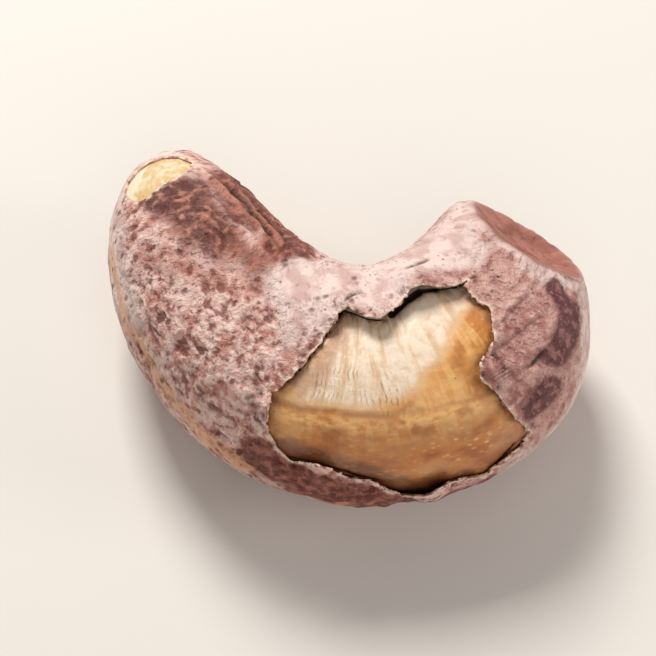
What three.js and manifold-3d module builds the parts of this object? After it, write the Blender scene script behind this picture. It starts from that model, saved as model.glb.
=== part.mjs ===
// A roasted cashew nut in its papery skin, lying on one flank with its inner curve towards +Y.
// Millimetres, +Z up. The origin is on the surface the nut rests on, under the middle of its box.
// Two pieces: the kernel, and the thin skin around it, which is torn open over the outer shoulder
// and at the tip of the long lobe.

import * as THREE from "three";
import { mergeVertices } from "three/addons/utils/BufferGeometryUtils.js";
import Module from "manifold-3d";

const wasm = await Module();
wasm.setup();

// The kernel's middle line seen from above, from the long lobe's tip to the blunt lobe's tip.
// Each station: x, y, half the width towards the inner curve, the same towards the back, and
// half the thickness.
const STATIONS = [
  [-16.1, 11.5, 2.9, 3.5, 3.4],
  [-14.2, 7.6, 3.9, 3.9, 4.5],
  [-11.5, 4.0, 4.8, 4.6, 5.1],
  [-7.9, 1.4, 5.2, 5.6, 5.5],
  [-3.9, 0.4, 5.0, 6.6, 5.6],
  [0.1, 1.2, 4.8, 7.1, 5.6],
  [3.3, 3.9, 4.7, 7.4, 5.6],
  [4.8, 7.9, 4.2, 6.0, 5.4],
  [4.4, 12.3, 4.2, 3.3, 4.8],
];
const LONG_TIP_POWER = 6; // of the round ends: a higher power is blunter
const BLUNT_TIP_POWER = 9;
const SECTION_POWER = 2.5; // 2 is an ellipse, higher has squarer shoulders

// The hollow where the skin has sunk over the end of the blunt lobe, as a ball pressed in there
const HOLLOW = { at: new THREE.Vector3(10.1, 17.05, 16.2), radius: 11.5 };
// The beak beside it, at the lobe's inner corner
const BEAK = { at: new THREE.Vector3(1.2, 13.5, 9.0), reach: 2.6, pull: 0.55, pullInside: 0.44 };

// The skin
const GAP = 0.35; // between kernel and skin where the skin lies close
const SKIN = 0.5; // wall of the skin
const REST_DEPTH = 0.35; // how far the underside is pressed flat
const RAPHE = { height: 0.3, width: 0.18 }; // the raised seam round the back, width in radians
// The crease along the long lobe's inner edge, a ridge with a groove beside it: how far from the tip
// its middle is and how long it is, as shares of the nut, and its turn and widths in radians
const FOLD = { height: 0.35, along: 0.22, length: 0.13, turn: 1.2, width: 0.1, grooveTurn: 1.0 };
// The fine wrinkles across the flanks, with how far and how often their lines wander
const WRINKLE = { height: 0.1, count: 19, bend: 2, bends: 5, drift: 3, drifts: 17 };

// The torn places, drawn as they are seen along TEAR_VIEW, in millimetres right and up from
// the middle of the body
const TEAR_VIEW = { turn: 16.5, tilt: 60 }; // degrees, about +Z and above the table
const SHOULDER_TEAR_FROM = 0; // where its cut starts, in millimetres towards the eye from the middle
const TIP_TEAR_FROM = -7;
const TEAR_CUT = 20; // how far each cut runs from there
const SHOULDER_TEAR = [
  [-5.6, -0.3], [-4.0, 1.3], [-2.8, 2.7], [-2.0, 4.2], [-1.5, 4.7], [-0.3, 4.1], [0.9, 4.3],
  [1.8, 5.3], [2.9, 5.9], [4.3, 5.8], [5.6, 6.2], [6.2, 4.8], [6.7, 4.4], [6.8, 3.2], [6.5, 2.1],
  [5.9, 1.2], [5.9, 0.7], [7.3, -0.6], [8.0, -1.6], [9.0, -2.6], [7.8, -4.0], [6.6, -5.0],
  [4.9, -5.2], [3.7, -5.6], [3.2, -6.1], [1.7, -6.0], [0.3, -5.3], [-1.6, -4.8], [-3.6, -4.1],
  [-5.0, -3.6], [-6.0, -1.9],
];
const TIP_TEAR = [
  [-13.8, 11.0], [-14.5, 11.4], [-14.6, 12.0], [-14.0, 12.9], [-13.2, 13.5], [-12.4, 13.8],
  [-11.5, 13.8], [-10.8, 13.4], [-11.5, 12.5], [-12.5, 11.9], [-13.1, 11.3],
];
// How far the torn edge curls up, all round and on the side of the inner curve, which starts at
// innerFrom and is full at innerTo, and how far back from the edge it starts
const TEAR_LIFT = { all: 0.15, inner: 0.8, innerFrom: 1, innerTo: 4, reach: 2.2 };

// How finely the surfaces are divided: steps round a section, and from tip to tip
const KERNEL_STEPS = [36, 44];
const CAVITY_STEPS = [36, 40];
const SKIN_STEPS = [52, 60];
const SAME_POINT = 1e-4; // vertices nearer than this are one

const curveThrough = (points) => new THREE.CatmullRomCurve3(points, false, "catmullrom", 0.5);
const spine = curveThrough(STATIONS.map(([x, y]) => new THREE.Vector3(x, y, 0)));
const girth = curveThrough(STATIONS.map(([, , inner, back, half]) => new THREE.Vector3(inner, back, half)));
const MID_HEIGHT = Math.max(...STATIONS.map((s) => s[4])) + GAP + SKIN - REST_DEPTH;

const squarer = (c) => Math.sign(c) * Math.abs(c) ** (2 / SECTION_POWER);
const bump = (x, width) => Math.exp(-((x / width) ** 2));

// The directions of the view that the tears are drawn in
const turned = THREE.MathUtils.degToRad(TEAR_VIEW.turn);
const tilted = THREE.MathUtils.degToRad(TEAR_VIEW.tilt);
const viewRight = new THREE.Vector3(Math.cos(turned), Math.sin(turned), 0);
const viewBack = new THREE.Vector3(
  Math.sin(turned) * Math.cos(tilted),
  -Math.cos(turned) * Math.cos(tilted),
  Math.sin(tilted),
);
const viewUp = new THREE.Vector3().crossVectors(viewBack, viewRight);
const bodyMiddle = new THREE.Vector3(0, 0, MID_HEIGHT);

function inView(p) {
  const q = p.clone().sub(bodyMiddle);
  return new THREE.Vector2(q.dot(viewRight), q.dot(viewUp));
}

function distanceToOutline(q, outline) {
  let nearest = Infinity;
  for (let i = 0; i < outline.length; i++) {
    const a = new THREE.Vector2(...outline[i]);
    const b = new THREE.Vector2(...outline[(i + 1) % outline.length]);
    const edge = b.clone().sub(a);
    const share = THREE.MathUtils.clamp(q.clone().sub(a).dot(edge) / edge.lengthSq(), 0, 1);
    nearest = Math.min(nearest, q.distanceTo(a.addScaledVector(edge, share)));
  }
  return nearest;
}

// A point of a unit sphere, whose poles are on Y, as how far along the nut it is, the size of the
// section there, and its turn round the section, from the inner curve over the upper flank.
function onSphere(p) {
  const power = p.y > 0 ? LONG_TIP_POWER : BLUNT_TIP_POWER;
  return {
    along: THREE.MathUtils.clamp((1 - p.y) / 2, 0, 1),
    round: Math.sqrt(Math.max(0, 1 - Math.abs(p.y) ** power)),
    turn: Math.atan2(p.z, p.x),
  };
}

// The nut's smooth surface, before anything stands off it.
function onBody({ along, round, turn }) {
  const forward = spine.getTangent(along);
  const inward = new THREE.Vector3(-forward.y, forward.x, 0);
  const size = girth.getPoint(along);
  const across = squarer(Math.cos(turn));
  const p = spine
    .getPoint(along)
    .addScaledVector(inward, round * across * (across > 0 ? size.x : size.y))
    .setZ(MID_HEIGHT + round * size.z * squarer(Math.sin(turn)));
  const fromHollow = p.clone().sub(HOLLOW.at);
  if (fromHollow.length() < HOLLOW.radius) p.copy(HOLLOW.at).add(fromHollow.setLength(HOLLOW.radius));
  return p;
}

// A closed surface standing off the smooth body by offset(point, place) along its normal, then
// drawn towards the beak, and pressed flat where it would go below the floor.
function bodySurface([around, along], offset, floor, pull) {
  const sphere = new THREE.SphereGeometry(1, around, along);
  sphere.deleteAttribute("normal");
  sphere.deleteAttribute("uv");
  const surface = mergeVertices(sphere, SAME_POINT);
  const position = surface.attributes.position;
  const unit = position.clone();
  const p = new THREE.Vector3();
  for (let i = 0; i < position.count; i++) {
    const q = onBody(onSphere(p.fromBufferAttribute(unit, i)));
    position.setXYZ(i, q.x, q.y, q.z);
  }
  surface.computeVertexNormals();
  const normal = new THREE.Vector3();
  for (let i = 0; i < position.count; i++) {
    const place = onSphere(p.fromBufferAttribute(unit, i));
    p.fromBufferAttribute(position, i);
    normal.fromBufferAttribute(surface.attributes.normal, i);
    p.addScaledVector(normal, offset(p, place));
    p.lerp(BEAK.at, pull * bump(p.distanceTo(BEAK.at), BEAK.reach));
    position.setXYZ(i, p.x, p.y, Math.max(p.z, floor));
  }
  surface.deleteAttribute("normal");
  return surface;
}

// How far the skin's inside is from the kernel: more where a torn edge has curled up.
function looseness(p) {
  const q = inView(p);
  const near = 1 - THREE.MathUtils.smoothstep(distanceToOutline(q, SHOULDER_TEAR), 0, TEAR_LIFT.reach);
  const innerEdge = THREE.MathUtils.smoothstep(q.y, TEAR_LIFT.innerFrom, TEAR_LIFT.innerTo);
  return GAP + near * (TEAR_LIFT.all + innerEdge * (TEAR_LIFT.inner - TEAR_LIFT.all));
}

// The relief on the skin's outside: the seam round the back, the crease and the fine wrinkles.
function relief({ along, round, turn }) {
  const raphe = RAPHE.height * bump(Math.PI - Math.abs(turn), RAPHE.width);
  const crease = FOLD.height * bump(along - FOLD.along, FOLD.length)
    * (bump(turn - FOLD.turn, FOLD.width) - bump(turn - FOLD.grooveTurn, FOLD.width));
  const line = 2 * Math.PI * WRINKLE.count * along
    + WRINKLE.bend * Math.sin(WRINKLE.bends * turn)
    + WRINKLE.drift * Math.sin(WRINKLE.drifts * along);
  const wrinkle = WRINKLE.height * Math.abs(Math.sin(turn)) * Math.sin(line);
  return round * (raphe + crease + wrinkle);
}

function toSolid(geometry) {
  const { Manifold, Mesh } = wasm;
  const vertProperties = new Float32Array(geometry.attributes.position.array);
  const triVerts = new Uint32Array(geometry.index.array);
  return new Manifold(new Mesh({ numProp: 3, vertProperties, triVerts }));
}

// A straight cutter of the outline, running out along the view.
function tearCutter(outline, from) {
  const shape = new THREE.Shape(outline.map(([x, y]) => new THREE.Vector2(x, y)));
  const prism = new THREE.ExtrudeGeometry(shape, { depth: TEAR_CUT, bevelEnabled: false });
  prism.deleteAttribute("normal");
  prism.deleteAttribute("uv");
  prism.applyMatrix4(new THREE.Matrix4().makeBasis(viewRight, viewUp, viewBack).setPosition(
    bodyMiddle.clone().addScaledVector(viewBack, from),
  ));
  return toSolid(mergeVertices(prism, SAME_POINT));
}

function toMesh(solid, name, material) {
  const { vertProperties, triVerts } = solid.getMesh();
  const geometry = new THREE.BufferGeometry();
  geometry.setAttribute("position", new THREE.BufferAttribute(vertProperties, 3));
  geometry.setIndex(new THREE.BufferAttribute(triVerts, 1));
  geometry.computeVertexNormals();
  const mesh = new THREE.Mesh(geometry, material);
  mesh.name = name;
  return mesh;
}

const roasted = new THREE.MeshStandardMaterial({ color: 0xd3a55f, roughness: 0.5, metalness: 0 });
const papery = new THREE.MeshStandardMaterial({ color: 0xb98a7e, roughness: 0.85, metalness: 0 });

const kernel = toSolid(bodySurface(KERNEL_STEPS, () => 0, GAP + SKIN, 0));
const cavity = toSolid(bodySurface(CAVITY_STEPS, looseness, SKIN, BEAK.pullInside));
const outside = toSolid(
  bodySurface(SKIN_STEPS, (p, place) => looseness(p) + SKIN + relief(place), 0, BEAK.pull),
);
const skin = outside
  .subtract(cavity)
  .subtract(tearCutter(SHOULDER_TEAR, SHOULDER_TEAR_FROM))
  .subtract(tearCutter(TIP_TEAR, TIP_TEAR_FROM));

const nut = new THREE.Group();
nut.add(toMesh(kernel, "kernel", roasted));
nut.add(toMesh(skin, "skin", papery));
const { min, max } = outside.boundingBox();
nut.position.set(-(min[0] + max[0]) / 2, -(min[1] + max[1]) / 2, 0);
export default nut;
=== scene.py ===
"""A roasted cashew nut in its papery skin, lying on one flank.

The skin is torn open over the outer shoulder and at the tip of the long lobe, and the golden kernel
shows there. Lengths are in millimetres and angles in radians until a piece is finished, when they
become metres. Both pieces start as a sphere of square cells, and every point keeps its place on that
sphere: how far along the nut it is, and its turn round the section there.
"""

import math
from collections import namedtuple

import bmesh
import bpy
import numpy as np
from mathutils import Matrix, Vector, noise


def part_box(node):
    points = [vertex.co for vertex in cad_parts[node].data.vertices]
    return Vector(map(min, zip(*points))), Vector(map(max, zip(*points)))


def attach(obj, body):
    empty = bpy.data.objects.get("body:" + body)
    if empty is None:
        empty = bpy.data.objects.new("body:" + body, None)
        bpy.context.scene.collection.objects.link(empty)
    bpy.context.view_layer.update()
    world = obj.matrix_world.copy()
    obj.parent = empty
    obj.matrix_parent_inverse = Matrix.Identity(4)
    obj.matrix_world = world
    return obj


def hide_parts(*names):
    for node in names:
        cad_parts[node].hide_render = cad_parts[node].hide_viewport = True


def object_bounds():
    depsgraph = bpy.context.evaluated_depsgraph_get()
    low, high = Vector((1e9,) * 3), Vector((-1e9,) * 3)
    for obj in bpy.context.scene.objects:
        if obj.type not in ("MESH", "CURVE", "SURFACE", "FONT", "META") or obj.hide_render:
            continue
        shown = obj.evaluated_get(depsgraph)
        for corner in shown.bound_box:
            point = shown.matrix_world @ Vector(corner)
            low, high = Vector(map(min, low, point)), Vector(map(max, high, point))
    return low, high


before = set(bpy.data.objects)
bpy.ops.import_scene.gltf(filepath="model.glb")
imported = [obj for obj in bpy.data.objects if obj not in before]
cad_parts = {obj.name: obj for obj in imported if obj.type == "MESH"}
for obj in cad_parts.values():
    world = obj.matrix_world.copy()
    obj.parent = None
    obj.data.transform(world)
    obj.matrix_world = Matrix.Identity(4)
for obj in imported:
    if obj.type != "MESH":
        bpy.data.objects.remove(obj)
cad_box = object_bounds()

MM = 0.001

# The kernel's middle line seen from above, from the long lobe's tip to the blunt lobe's tip:
# x, y, half the width towards the inner curve, the same towards the back, and half the thickness
STATIONS = [
    (-16.1, 11.5, 2.9, 3.5, 3.4),
    (-14.2, 7.6, 3.9, 3.9, 4.5),
    (-11.5, 4.0, 4.8, 4.6, 5.1),
    (-7.9, 1.4, 5.2, 5.6, 5.5),
    (-3.9, 0.4, 5.0, 6.6, 5.6),
    (0.1, 1.2, 4.8, 7.1, 5.6),
    (3.3, 3.9, 4.7, 7.4, 5.6),
    (4.8, 7.9, 4.2, 6.0, 5.4),
    (4.4, 12.3, 4.2, 3.3, 4.8),
]
# How blunt its tips are, and how square its sections
LONG_TIP_POWER = 6
BLUNT_TIP_POWER = 9
SECTION_POWER = 2.5
MID_HEIGHT = 6.1

# The round hollow in the blunt lobe's end, and the beak drawn out at its inner corner
HOLLOW_AT = np.array((10.1, 17.05, 16.2))
HOLLOW_RADIUS = 11.5
BEAK_AT = np.array((1.2, 13.5, 9.0))
BEAK_REACH = 2.6
BEAK_PULL = 0.55

# The nut as if it were bent straight, for grain that follows it
LENGTH = 34.4
GIRTH = 5.8

# The skin
SKIN_STANDS = 0.85  # its outside, off the smooth body
SKIN_WALL = 0.15
SKIN_LOWEST = 0.67  # where its pits and creases stop, clear of the kernel
CLING = 0.2  # how much closer it lies beside a tear that isn't lifted
CLING_REACH = 2.0
RAPHE_HEIGHT = 0.28  # the seam line round its back
RAPHE_WIDTH = 0.2

# The skin's low relief: how high or deep each kind is, and the size of its lumps
LUMP_HEIGHT = 0.16
LUMP_SIZE = 4.5
LEATHER_HEIGHT = 0.11
LEATHER_SIZE = 0.9
PIT_DEPTH = 0.16
PIT_SIZE = 0.65
CREASE_DEPTH = 0.05
CREASE_SIZE = 1.3
CREST_HEIGHT = 0.1  # the rim of the hollow

# The kernel, which has a low ridge where its flanks meet its back, and a crease along it
KERNEL_STANDS = 0.42
KERNEL_SINKS = 0.15  # how much lower it is where the skin covers it
TIP_STANDS = 0.12  # how much higher it is in the tear at its tip
KERNEL_FLOOR = 0.45
BACK_STANDS = 0.1  # how much higher it is behind its ridge
RIDGE_TURN = 2.28
RIDGE_CREASE = 0.05
KERNEL_LUMPS = 0.1
RIPPLE_HEIGHT = 0.02
RIPPLE_STEP = 0.6
STREAK_HEIGHT = 0.015
STREAK_STEP = 0.8
PIMPLE_HEIGHT = 0.022
PIMPLE_SIZE = 0.4
GAP_DEPTH = 0.2  # how much lower it is in the gaps under the lifted skin

# The view that the torn places are drawn in, in millimetres right and up from the middle
VIEW_TURN = math.radians(16.5)
VIEW_TILT = math.radians(60)
SHOULDER_TEAR = [
    (-5.6, -0.1), (-4.6, 0.6), (-4.0, 1.3), (-3.3, 2.1), (-2.8, 2.7), (-2.4, 3.4), (-2.0, 3.9),
    (-1.9, 4.4), (-1.5, 4.7), (-1.0, 4.4), (-0.3, 4.1), (0.4, 4.0), (0.9, 4.3), (1.4, 4.7),
    (1.8, 5.3), (2.3, 5.7), (2.9, 5.85), (3.5, 5.8), (4.3, 5.8), (4.9, 6.0), (5.6, 6.3),
    (5.2, 5.85), (5.4, 5.7), (5.8, 5.2), (6.2, 4.8), (6.6, 4.75), (6.7, 4.3), (6.8, 3.2),
    (6.7, 2.5), (6.5, 2.1), (6.2, 1.9), (6.0, 1.4), (5.9, 0.7), (6.3, 0.3), (6.8, -0.1),
    (7.3, -0.6), (7.7, -1.1), (8.0, -1.6), (8.5, -1.95), (9.1, -2.5), (8.8, -2.95), (8.5, -3.3),
    (7.8, -3.95), (7.0, -4.6), (6.6, -5.0), (5.8, -5.1), (4.9, -5.2), (4.2, -5.4), (3.7, -5.6),
    (3.3, -6.1), (2.5, -6.1), (1.7, -6.0), (0.9, -5.7), (0.3, -5.3), (-0.3, -5.0), (-0.8, -5.0),
    (-1.6, -4.8), (-2.3, -4.5), (-3.0, -4.2), (-3.6, -4.1), (-4.5, -3.95), (-5.0, -3.6),
    (-5.4, -3.3), (-5.6, -2.7), (-6.0, -1.95), (-5.8, -1.3), (-5.6, -0.6),
]
TIP_TEAR = [
    (-14.4, 11.15), (-14.8, 11.7), (-14.65, 12.4), (-14.1, 13.1), (-13.4, 13.6), (-12.6, 13.9),
    (-11.6, 13.9), (-10.7, 13.5), (-10.9, 13.0), (-11.6, 12.4), (-12.5, 11.9), (-13.1, 11.3),
    (-13.8, 10.95),
]
# Each tear with how far towards the eye from the middle its cut starts
TEARS = [(SHOULDER_TEAR, -1.5), (TIP_TEAR, -7.0)]
# Where the torn edge has curled up: right, up, how wide and how far
LIFTS = [
    (-1.4, 4.6, 1.2, 0.7), (0.4, 4.1, 1.5, 0.8), (2.5, 5.8, 1.8, 0.95), (4.6, 6.0, 1.2, 0.35),
    (6.7, 3.3, 1.0, 0.3), (6.0, 1.0, 0.9, 0.5), (7.9, -1.5, 0.8, 0.15), (3.4, -5.8, 1.0, 0.25),
    (-5.7, -1.2, 0.8, 0.3), (-3.2, -4.2, 1.6, 0.2),
]
LIFT_REACH = 2.2
# How ragged the torn edges are, in two sizes
RAG_DEPTH = 0.13
RAG_SIZE = 0.8
FRAY_DEPTH = 0.05
FRAY_SIZE = 0.22
RAG_REACH = 1.0
TORN_WIDTH = 0.13  # the light line along them
NEAR_TEAR = 0.36  # where the skin's mesh is divided once more
# How often and how far at a time the mesh's border is drawn onto them, and over what their slope is taken
EDGE_ROUNDS = 3
EDGE_MOVE = 0.12
EDGE_STEP = 0.02

# Lines in the skin that don't go through, drawn in the same view: points, width and height
FURROWS = [
    ([(-1.6, 4.6), (-1.2, 5.1), (-0.6, 5.5)], 0.1, -0.2),
    ([(2.0, 6.5), (2.9, 7.0)], 0.09, -0.24),
    ([(2.6, 7.05), (3.3, 7.4)], 0.09, -0.24),
    ([(5.5, 6.25), (6.1, 6.45)], 0.07, -0.16),
    ([(-4.3, 3.9), (-3.6, 3.4)], 0.06, -0.1),
    ([(-6.2, -0.4), (-6.6, 0.6), (-6.1, 1.5)], 0.08, -0.16),
    ([(6.4, 2.0), (6.9, 1.95), (7.4, 1.45), (7.7, 0.9)], 0.09, -0.2),
    ([(8.75, 1.25), (9.05, 1.35), (9.3, 1.75), (9.75, 2.25)], 0.13, -0.24),
    ([(8.9, -2.2), (9.4, -2.0)], 0.08, -0.15),
    ([(-6.8, 0.1), (-6.85, -0.6), (-6.5, -1.5), (-6.0, -2.3)], 0.09, -0.2),
    ([(-9.6, 13.0), (-8.4, 11.9), (-7.2, 10.7), (-6.2, 9.3), (-5.1, 7.8)], 0.09, -0.2),
    ([(-7.9, 12.2), (-6.7, 10.7), (-5.4, 9.0), (-4.4, 7.9)], 0.07, -0.14),
    ([(-10.2, 12.5), (-8.9, 11.1), (-7.6, 9.8), (-6.4, 8.4)], 0.08, -0.1),
    ([(6.9, 3.4), (8.3, 4.8), (9.7, 6.2)], 0.08, -0.07),
    ([(7.2, 2.4), (8.7, 3.6), (10.2, 4.6)], 0.08, -0.07),
    ([(8.2, -0.9), (9.1, 0.1)], 0.07, -0.07),
]
RIDGES = [
    ([(-10.4, 13.4), (-9.0, 12.0), (-7.8, 10.7), (-6.7, 9.4), (-5.6, 8.0)], 0.16, 0.28),
    ([(-9.1, 13.1), (-7.6, 11.3), (-6.3, 9.7), (-4.9, 8.1)], 0.14, 0.24),
    ([(-8.2, 12.9), (-6.9, 11.3), (-5.4, 9.7)], 0.2, 0.12),
    ([(6.6, 1.1), (7.2, 0.4)], 0.12, 0.12),
    ([(-6.4, -1.9), (-6.2, -0.9), (-5.9, 0.1)], 0.16, 0.12),
    ([(7.0, 4.0), (8.2, 5.2), (9.4, 6.4)], 0.2, 0.12),
    ([(7.5, 3.0), (8.9, 4.1), (10.2, 5.1)], 0.2, 0.12),
    ([(8.0, -0.9), (8.9, 0.2)], 0.14, 0.1),
]
# The wrinkle rings round the scorched place
RINGS_AT = (-10.0, 7.9)
RINGS_REACH = 4.6
RINGS_STEP = 0.6
RING_HEIGHT = 0.06

# The skin's colouring as seen: points, width and strength of each stroke
SCORCHED = [
    ([(-12.4, 11.0), (-11.3, 11.5), (-10.2, 11.6)], 1.0, 1.0),
    ([(-10.9, 10.4), (-9.6, 10.0), (-8.9, 9.2)], 1.1, 0.85),
    ([(-10.4, 9.0), (-9.0, 8.3)], 1.0, 0.6),
    ([(-9.4, 12.4), (-8.6, 11.3), (-7.6, 10.2)], 0.6, 0.6),
    ([(-8.1, 11.5), (-6.7, 10.1), (-5.3, 8.5)], 0.45, 0.8),
    ([(-6.2, 9.9), (-4.9, 8.5)], 0.5, 0.5),
]
ROSY = [
    ([(-8.3, 12.4), (-6.6, 10.3), (-4.9, 8.6), (-4.2, 8.0)], 1.1, 1.0),
    ([(-9.0, 8.6), (-7.0, 7.4), (-5.9, 6.5)], 1.4, 0.6),
    ([(-12.5, 7.5), (-10.5, 6.8), (-8.8, 6.3)], 1.2, 0.4),
    ([(-6.8, -3.6), (-4.5, -4.9), (-2.0, -5.7), (0.5, -6.5), (3.0, -7.0)], 0.8, 1.5),
    ([(3.0, -7.0), (6.0, -6.2), (8.6, -4.6)], 0.5, 1.3),
    ([(-8.2, 12.6), (-6.4, 10.6), (-4.6, 8.6)], 0.7, 1.5),
    ([(-5.7, 8.3), (-4.7, 7.2)], 0.9, 1.0),
    ([(6.2, 0.9), (6.9, 0.3)], 0.5, 0.6),
]
PALE = [
    ([(-4.3, 6.2), (-2.8, 5.9), (-1.2, 6.0), (0.6, 6.2), (2.0, 6.9), (3.6, 7.6), (4.8, 8.8)], 1.35, 1.2),
    ([(4.8, 8.6), (5.6, 10.0)], 1.0, 1.0),
    ([(-1.2, 5.2), (0.3, 4.8), (1.2, 5.2)], 0.8, 1.0),
    ([(-4.4, 4.6), (-3.1, 3.6), (-2.7, 5.0)], 0.9, 0.85),
    ([(5.0, 7.4), (6.4, 8.0)], 0.8, 0.7),
    ([(-15.7, 10.0), (-15.4, 12.4), (-14.4, 14.0), (-12.4, 14.6)], 0.75, 1.3),
    ([(-15.3, 9.8), (-15.0, 7.0), (-13.9, 3.6)], 1.1, 0.95),
    ([(-5.4, 6.0), (-4.7, 4.4), (-4.5, 2.7)], 1.0, 0.62),
    ([(-8.0, 1.0), (-7.2, 1.6)], 0.9, 0.35),
    ([(12.6, 5.0), (12.9, 2.0), (11.8, -1.8), (10.0, -3.8), (8.0, -5.2)], 0.75, 1.2),
    ([(8.6, 6.9), (10.0, 6.5), (11.8, 6.0)], 0.5, 0.6),
]
# Painted reflection: a thin warm cream-orange line along the lower silhouette, standing for bounced light
REFLECTION_STROKES = [
    ([(-15.5, 8.4), (-14.3, 3.9), (-11.8, -0.1), (-9.2, -2.8), (-6.8, -4.6)], 0.32, 1.1),
    ([(-2.5, -6.4), (1.0, -7.2), (4.0, -7.5)], 0.25, 0.6),
]
PLUM = [
    ([(10.5, 5.8), (10.9, 5.0)], 0.6, 0.8),
    ([(11.3, 4.3), (11.1, 3.0), (10.6, 2.1)], 0.8, 1.0),
    ([(10.3, 2.1), (9.9, 1.9)], 0.5, 0.85),
    ([(10.1, 0.2), (9.7, -0.5), (9.1, -1.2)], 0.68, 0.95),
]
# The same on the sides out of sight: along, turn, length, width and strength
SCORCHED_ROUND = [
    (0.33, -1.5, 4.0, 3.0, 0.8), (0.72, -1.9, 3.0, 2.4, 0.7), (0.9, 0.2, 2.0, 2.0, 0.4),
]
ROSY_ROUND = [(0.22, 0.3, 4.0, 2.6, 0.5), (0.60, -2.6, 5.0, 1.6, 0.5), (0.85, -0.4, 3.0, 2.0, 0.5)]
PALE_ROUND = [(0.55, -1.2, 4.0, 2.0, 0.7), (0.08, -2.0, 2.4, 2.4, 0.5), (0.55, 0.1, 4.0, 1.6, 0.5)]
PLUM_ROUND = [(0.45, -2.4, 1.2, 0.8, 0.8), (0.8, -1.2, 1.2, 0.9, 0.7)]
# Each colour's strokes in sight and spots out of sight, and how far its edges wander
SKIN_COLOURS = {
    "scorch": (SCORCHED, SCORCHED_ROUND, 0.35),
    "rosy": (ROSY, ROSY_ROUND, 0.35),
    "pale": (PALE, PALE_ROUND, 0.35),
    "painted_reflection": (REFLECTION_STROKES, [], 0.35),
    "plum": (PLUM, PLUM_ROUND, 0.15),
}

# The kernel's colouring in the same view: the outline of its cream part, then strokes as on the skin
CREAM = [
    (-4.3, -0.5), (-4.2, 0.5), (-2.9, 2.5), (-2.6, 5.0), (0.0, 6.5), (6.2, 7.0), (5.9, 5.6),
    (4.9, 4.3), (4.0, 2.9), (3.3, 1.6), (2.6, 0.5), (1.5, -0.3), (-0.7, -0.75), (-2.7, -0.7),
]
# Painted shade in dark brown along the window's lower torn edge
LOW_EDGE_SHADE = [([(-4.9, -3.3), (-2.6, -4.2), (0.2, -4.9), (2.6, -5.8), (5.4, -5.0)], 0.65, 1.5)]
# Where pale dots are painted on the kernel as glints
GLINT_STROKES = [
    ([(4.6, -2.8), (6.8, -3.4)], 1.3, 1.0), ([(5.0, 4.6), (5.4, 3.0)], 0.5, 0.7),
    ([(-3.6, -1.6), (-2.0, -1.8)], 0.5, 0.7),
]
# Painted shade on the cream part where the skin's edge overhangs it
SKIN_SHADE_STROKES = [
    ([(-4.4, 0.1), (-3.0, 1.2), (-2.2, 2.6), (-1.9, 4.0)], 0.8, 0.8),
    ([(4.3, 4.8), (5.6, 5.2)], 0.5, 0.5),
]
TIP_CREAM = [
    ([(-15.0, 10.6), (-14.3, 13.4)], 1.1, 1.0), ([(-13.4, 12.2), (-11.0, 13.7)], 1.3, 0.5),
]
# The gaps under the lifted skin, where the kernel is sunk and painted with shadow: points and width
SHADED_GAPS = [
    ([(-2.1, 4.0), (-1.7, 4.5)], 0.2), ([(-1.7, 4.6), (-0.3, 4.05), (0.7, 3.95)], 0.07),
    ([(1.1, 4.3), (1.9, 5.05), (2.7, 5.55)], 0.3), ([(2.7, 5.6), (3.7, 5.7)], 0.17),
    ([(3.7, 5.72), (4.9, 5.9), (5.5, 6.2)], 0.07), ([(-5.3, 0.1), (-4.0, 1.25), (-2.4, 3.3)], 0.07),
    ([(8.2, -3.0), (7.2, -4.2), (6.5, -4.8)], 0.08), ([(-4.6, -3.8), (-2.3, -4.3), (0.3, -5.1)], 0.08),
]
# The noise that the grain is made of: how far apart two seeds lie, and how each octave follows
GRAIN_SHIFT = np.array((17.3, -5.1, 9.7))
GRAIN_FALL = 0.8
GRAIN_STEP = 2.1

FAR = 1e9  # further than any point is

# Each piece's cells along the edge of a cube face less one, and the side where they lie closer together
SKIN_CELLS = (70, (-0.14, -0.06, 0.36))
KERNEL_CELLS = (72, (-0.25, 0.0, 0.35))
NEAR_BARE = 0.5  # where the kernel's mesh is divided once more

# The floor, the camera and the lights, in metres and watts, with the lens in millimetres
FLOOR_SIDE = 1.2
LENS = 100
VIEW_WIDTH = 0.039  # what the camera's frame takes in at the nut
NEAREST_SEEN = 0.005
# Each light's name, the way to it, its distance, width, power and colour
LIGHTS = [
    ("window_light", (-0.45, 0.65, 0.9), 0.3, 0.1, 0.93, (1.0, 0.97, 0.93)),
    ("fill_light", (0.5, -1.0, 0.9), 0.35, 0.3, 0.34, (1.0, 0.95, 0.9)),
    ("rim_light", (1.0, 0.15, 0.35), 0.35, 0.12, 0.3, (1.0, 0.93, 0.92)),
]
STUDIO_COLOUR = (1.0, 0.96, 0.93, 1)
STUDIO_STRENGTH = 0.24

# A place on the nut: its share of the way along, how wide the section is there, and its turn round it
Place = namedtuple("Place", "along swell turn")


def bump(x, width):
    return np.exp(-((x / width) ** 2))


def ease(x, low, high):
    """0 below low, 1 above high, and smooth between them."""
    t = np.clip((x - low) / (high - low), 0, 1)
    return t * t * (3 - 2 * t)


def wrapped(angle):
    return (angle + math.pi) % (2 * math.pi) - math.pi


def unit_rows(vectors):
    return vectors / np.linalg.norm(vectors, axis=1)[:, None]


def curve_through(stations, share):
    """Points of a smooth curve through the stations, at shares of the way along it."""
    points = np.array(stations)
    points = np.vstack([2 * points[0] - points[1], points, 2 * points[-1] - points[-2]])
    spans = len(stations) - 1
    at = np.clip(share, 0, 1) * spans
    i = np.minimum(at.astype(int), spans - 1)
    w = (at - i)[:, None]
    before, here, there, after = points[i], points[i + 1], points[i + 2], points[i + 3]
    leave, arrive = (there - before) / 2, (after - here) / 2
    return (
        here
        + leave * w
        + (3 * (there - here) - 2 * leave - arrive) * w**2
        + (2 * (here - there) + leave + arrive) * w**3
    )


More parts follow.
